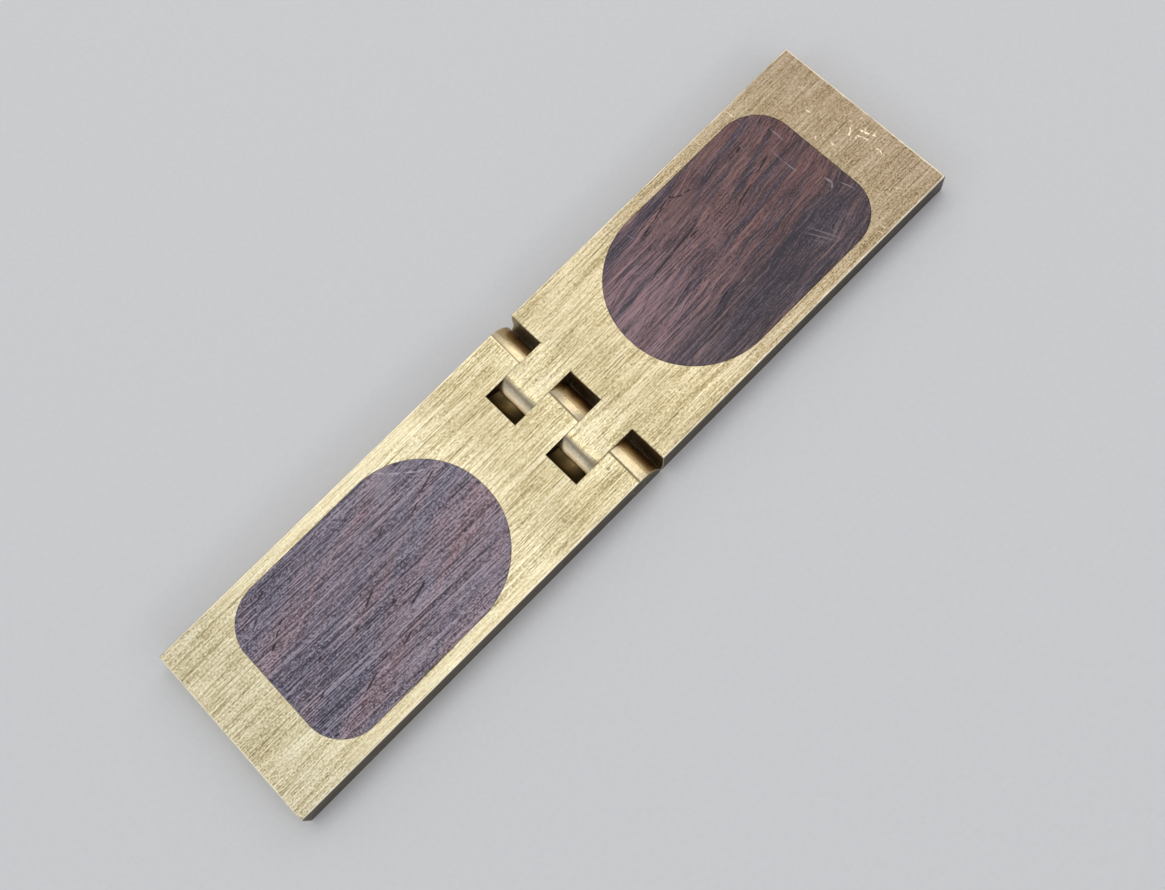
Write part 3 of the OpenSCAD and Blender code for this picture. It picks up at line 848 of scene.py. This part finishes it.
def rosewood_b():
    g = Graph("rosewood_b")
    x, y, z = g.x, g.y, g.z
    top = g.rng(z, 4.0, 5.0)
    zz = g.mul(z, 0.55)
    w1 = g.mad(g.noise(g.vec(g.mul(x, 0.05), g.mul(y, 0.07), zz), detail=2.0), 6.0, -3.0)
    w2 = g.mad(g.noise(g.vec(g.mul(x, 0.25), g.mul(y, 0.3), zz), detail=2.0), 0.7, -0.35)
    u, v = turned_coords(g, 9.5, x, y)
    vw = g.add(v, g.add(w1, w2))
    band = g.noise(g.vec(g.mul(u, 0.014), g.mul(vw, 0.30), g.add(zz, 11.0)), detail=3.0, rough=0.6)
    band2 = g.noise(g.vec(g.mul(u, 0.03), g.mul(vw, 0.85), g.add(zz, 4.0)), detail=3.0, rough=0.6)
    fibre = g.noise(g.vec(g.mul(u, 0.13), g.mul(vw, 2.7), zz), detail=3.0, rough=0.65)
    fibre2 = g.noise(g.vec(g.mul(u, 0.26), g.mul(vw, 6.0), zz), detail=2.0, rough=0.6)
    cloud = g.noise(g.P, scale=0.10, detail=3.0, rough=0.55)
    grit = g.noise(g.vec(g.mul(x, 3.0), g.mul(y, 5.0), g.mul(z, 4.0)), detail=1.0, rough=0.6)
    scr = g.noise(g.vec(g.mul(x, 0.06), g.mul(y, 5.0), zz), detail=1.0, rough=0.65)

    K = 1.0
    col = g.mix(g.rng(x, 24.0, 66.0), rgb(148, 121, 132, K), rgb(117, 80, 79, K))
    # blue-black heartwood towards the near edge
    low = g.rng(g.sub(g.mad(x, 0.06, g.mul(y, -1.0)), g.mad(w1, 0.9, 0.0)), 6.0, 14.0)
    col = g.mix(g.mul(low, 0.85), col, rgb(54, 48, 58, K))
    p2 = g.vec(g.mad(fibre, 1.2, g.sub(x, 0.6)), g.mad(band2, 1.8, g.sub(y, 0.9)), 0.0)
    stripes = strokes(g, p2, [(24.0, 14.4, 40.0, 17.6, 2.2, 1.0), (38.0, 17.2, 53.0, 18.6, 1.4, 1.0), (21.0, 5.4, 34.0, 7.2, 1.0, 0.9),
                              (30.0, 6.2, 50.0, 8.2, 0.8, 0.8), (46.0, 7.8, 66.0, 12.6, 0.9, 0.7), (50.0, 11.6, 62.0, 15.2, 0.9, 0.8), (60.0, 14.6, 76.0, 17.0, 0.9, 0.7),
                              (56.0, 6.0, 77.0, 11.8, 0.9, 0.9), (54.0, 3.4, 77.0, 6.8, 0.9, 0.7), (28.0, -2.4, 47.0, 0.6, 0.9, 0.8), (46.0, 0.2, 77.0, 2.9, 1.0, 0.8),
                              (30.0, 1.4, 52.0, 4.4, 0.7, 0.6), (34.0, -9.6, 46.0, -6.6, 1.2, 0.9), (44.0, -7.0, 76.0, -1.2, 0.9, 0.8), (26.0, -5.0, 44.0, -3.2, 0.8, 0.6),
                              (48.0, -9.6, 77.0, -7.4, 1.6, 0.9), (30.0, -14.6, 60.0, -12.8, 2.4, 0.9), (56.0, -12.0, 77.0, -10.0, 2.4, 0.8), (36.0, -18.0, 72.0, -17.0, 1.4, 0.8),
                              (27.0, -11.0, 37.0, -10.2, 1.0, 0.6)])
    col = g.mix(g.mul(g.rng(band, 0.49, 0.62), 0.50), col, rgb(66, 56, 74, K))
    col = g.mix(g.mul(g.rng(band2, 0.51, 0.64), 0.50), col, rgb(62, 52, 70, K))
    col = g.mix(g.mul(g.rng(band2, 0.46, 0.34), 0.35), col, rgb(158, 118, 112, K))
    col = g.mix(g.mul(g.mul(g.rng(stripes, 0.0, 0.75), top), 0.82), col, rgb(53, 47, 68, K))
    col = g.mix(g.mul(g.rng(cloud, 0.40, 0.70), 0.20), col, rgb(132, 124, 138, K))
    f = g.mad(g.sub(fibre, 0.5), g.rng(x, 24.0, 50.0, 1.5, 2.9), g.rng(x, 24.0, 46.0, 1.16, 1.02))
    f = g.mad(g.sub(scr, 0.5), g.rng(x, 60.0, 26.0, 1.8, 3.8), f)
    f = g.mad(g.sub(fibre2, 0.5), g.rng(x, 26.0, 50.0, 2.3, 2.8), f)
    f = g.mad(g.sub(grit, 0.5), 2.8, f)
    f = g.m('MAXIMUM', f, 0.18)
    col = g.scale_col(col, f)
    col = g.mix(g.mul(g.rng(f, 0.85, 0.35), 0.64), col, rgb(42, 34, 46, K))
    col = g.mix(g.mul(g.rng(f, 1.2, 1.9), 0.40), col, rgb(166, 146, 148, K))
    pores = g.mul(g.rng(fibre2, 0.62, 0.76), g.rng(cloud, 0.36, 0.56))
    col = g.mix(g.mul(pores, 0.45), col, rgb(50, 38, 46, K))
    col = g.mix(g.mul(g.rng(grit, 0.40, 0.66), 0.22), col, rgb(76, 66, 76, K))
    rosy = strokes(g, p2, [(40.0, 12.0, 56.0, 14.6, 2.4, 0.7), (56.0, 17.2, 70.0, 18.0, 1.6, 0.8), (60.0, 12.0, 74.0, 14.0, 1.0, 0.6),
                           (40.0, 10.0, 60.0, 10.6, 1.4, 0.4), (72.0, -2.6, 77.0, -3.4, 0.9, 0.6), (52.0, 1.6, 66.0, 2.4, 0.6, 0.4), (70.0, -14.0, 76.0, -12.6, 1.0, 0.5)])
    col = g.mix(g.mul(g.mul(rosy, top), 0.42), col, rgb(150, 112, 104, K))
    pc = g.vec(g.mad(grit, 0.5, g.sub(x, 0.25)), g.mad(fibre2, 0.5, g.sub(y, 0.25)), 0.0)
    cracks = strokes(g, pc, [(33.9, 6.5, 41.0, 7.2, 0.25, 0.9), (40.0, 7.1, 49.5, 8.0, 0.25, 1.0), (45.6, 6.9, 48.4, 7.0, 0.18, 0.8), (57.1, 4.4, 63.3, 6.0, 0.25, 1.0),
                             (65.2, 6.6, 70.5, 8.0, 0.25, 1.0), (66.0, 13.2, 67.6, 13.5, 0.35, 1.0), (63.0, 12.9, 66.0, 13.3, 0.17, 0.7),
                             (38.0, 14.0, 43.0, 14.9, 0.16, 0.6), (43.0, 15.0, 49.3, 16.7, 0.18, 0.8), (49.2, 16.7, 50.3, 15.4, 0.21, 0.9), (50.3, 15.4, 51.7, 14.8, 0.21, 0.8),
                             (51.7, 14.9, 54.0, 14.4, 0.16, 0.6), (70.8, 11.0, 76.4, 12.0, 0.14, 0.7), (30.0, -1.9, 41.0, 0.4, 0.13, 0.6), (38.0, -7.9, 44.0, -6.6, 0.16, 0.6)])
    cracks = g.mul(g.rng(cracks, 0.15, 0.60), top)
    col = g.mix(g.mul(cracks, 0.90), col, rgb(30, 22, 28, K))
    pale = strokes(g, g.vec(g.mad(grit, 0.3, g.sub(x, 0.15)), g.mad(fibre, 0.5, g.sub(y, 0.25)), 0.0),
                   [(71.4, 8.5, 71.2, 4.4, 0.14, 0.7), (71.2, 4.4, 71.4, 0.4, 0.18, 0.9), (74.9, 12.2, 74.7, 7.2, 0.18, 0.9), (74.2, -4.3, 74.4, -6.4, 0.32, 1.0),
                    (74.4, -6.2, 73.4, -7.0, 0.28, 1.0), (75.4, -7.0, 76.6, -10.6, 0.18, 0.9), (62.1, -9.0, 65.6, -16.0, 0.18, 0.6), (63.4, -8.6, 67.0, -17.0, 0.18, 0.6),
                    (61.4, -10.4, 64.4, -15.4, 0.10, 0.4), (66.4, -12.0, 67.0, -15.0, 0.10, 0.4), (70.6, -12.6, 73.0, -14.8, 0.10, 0.4),
                    (43.9, 12.9, 45.2, 15.7, 0.13, 0.7), (37.0, 17.6, 38.0, 14.4, 0.13, 0.6), (71.2, 19.0, 71.4, 16.4, 0.12, 0.5), (50.4, 6.2, 52.0, 6.5, 0.12, 0.6),
                    (46.2, -7.8, 46.8, -7.6, 0.24, 0.7), (44.2, 6.4, 44.6, 6.4, 0.16, 0.7), (37.6, -11.0, 37.8, -13.2, 0.10, 0.3), (40.2, 2.0, 41.0, 3.4, 0.10, 0.4)])
    col = g.mix(g.mul(g.mul(pale, top), 0.75), col, rgb(176, 172, 182, K))

    col = g.mix(1.0, col, rgb(249, 239, 232), 'MULTIPLY')
    rough = g.mad(fibre, 0.20, 0.34)
    rough = g.mad(pores, 0.15, rough)
    height = g.mad(fibre, -0.020, g.mul(pores, -0.030))
    height = g.mad(fibre2, -0.008, height)
    height = g.mad(cracks, -0.120, height)
    height = g.mad(scr, 0.010, height)
    height = g.mad(grit, -0.006, height)
    finish_wood(g, col, rough, height)
    return g.mat


# ---------------------------------------------------------------- pieces

brass_a = brass("brass_a", 'a')
brass_b = brass("brass_b", 'b')
brass_pin = pin_brass()
wood_a = rosewood_a()
wood_b = rosewood_b()

for ob, body, node, slot, mat in (
        (make_leaf_a(), "fixed_leaf", "leaf_a", "leaf_brass", brass_a),
        (make_leaf_b(), "folding_leaf", "leaf_b", "leaf_brass", brass_b),
        (make_pin(), "fixed_leaf", "hinge_pin", "pin_brass", brass_pin),
        (make_inlay("inlay_a_upper", INLAY_A, -1, True), "fixed_leaf", "inlay_a_top", "rosewood_a", wood_a),
        (make_inlay("inlay_a_lower", INLAY_A, -1, False), "fixed_leaf", "inlay_a_bottom", "rosewood_a", wood_a),
        (make_inlay("inlay_b_upper", INLAY_B, 1, True), "folding_leaf", "inlay_b_top", "rosewood_b", wood_b),
        (make_inlay("inlay_b_lower", INLAY_B, 1, False), "folding_leaf", "inlay_b_bottom", "rosewood_b", wood_b)):
    ob.data.materials.clear()
    ob.data.materials.append(mat)
    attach(ob, body)
    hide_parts(node)

# ---------------------------------------------------------------- floor and light

# a hair below the tool, so that no two faces lie in one plane
FLOOR_Z = -0.00008
floor_mesh = bpy.data.meshes.new("floor")
floor_mesh.from_pydata([(-4, -4, FLOOR_Z), (4, -4, FLOOR_Z), (4, 4, FLOOR_Z), (-4, 4, FLOOR_Z)], [], [(0, 1, 2, 3)])
floor = bpy.data.objects.new("floor", floor_mesh)
scene.collection.objects.link(floor)
gf = Graph("floor_paper")
paper = gf.noise(gf.P, scale=0.9, detail=3.0, rough=0.6)
bf = gf.nt.nodes.new('ShaderNodeBsdfPrincipled')
gf.put(bf.inputs['Base Color'], gf.mix(paper, rgb(226, 226, 228), rgb(234, 234, 235)))
bf.inputs['Roughness'].default_value = 0.9
bf.inputs['Specular IOR Level'].default_value = 0.1
gf.nt.links.new(bf.outputs[0], gf.out.inputs['Surface'])
floor_mesh.materials.append(gf.mat)

world = bpy.data.worlds.new("studio")
world.use_nodes = True
wn = world.node_tree.nodes
wn["Background"].inputs[0].default_value = (0.93, 0.96, 1.0, 1.0)
wn["Background"].inputs[1].default_value = 0.45
scene.world = world


def softbox(name, loc, target, sx, sy, power, color):
    d = bpy.data.lights.new(name, 'AREA')
    d.shape = 'RECTANGLE'
    d.size = sx
    d.size_y = sy
    d.energy = power
    d.color = color
    ob = bpy.data.objects.new(name, d)
    scene.collection.objects.link(ob)
    ob.location = loc
    ob.rotation_euler = (Vector(target) - Vector(loc)).to_track_quat('-Z', 'Y').to_euler()
    return ob


softbox("key", (0.10, 0.24, 0.85), (0, 0, 0), 0.86, 0.70, 2.10, (1.0, 0.985, 0.96))
softbox("front", (0.10, -1.05, 0.62), (0, 0, 0), 1.4, 0.25, 1.6, (1.0, 1.0, 1.0))
softbox("side", (-1.20, 0.37, 0.78), (0, 0, 0), 0.8, 0.34, 1.45, (1.0, 1.0, 1.0))
softbox("far", (1.15, 0.30, 0.85), (0, 0, 0), 0.5, 0.8, 1.6, (1.0, 0.95, 0.87))
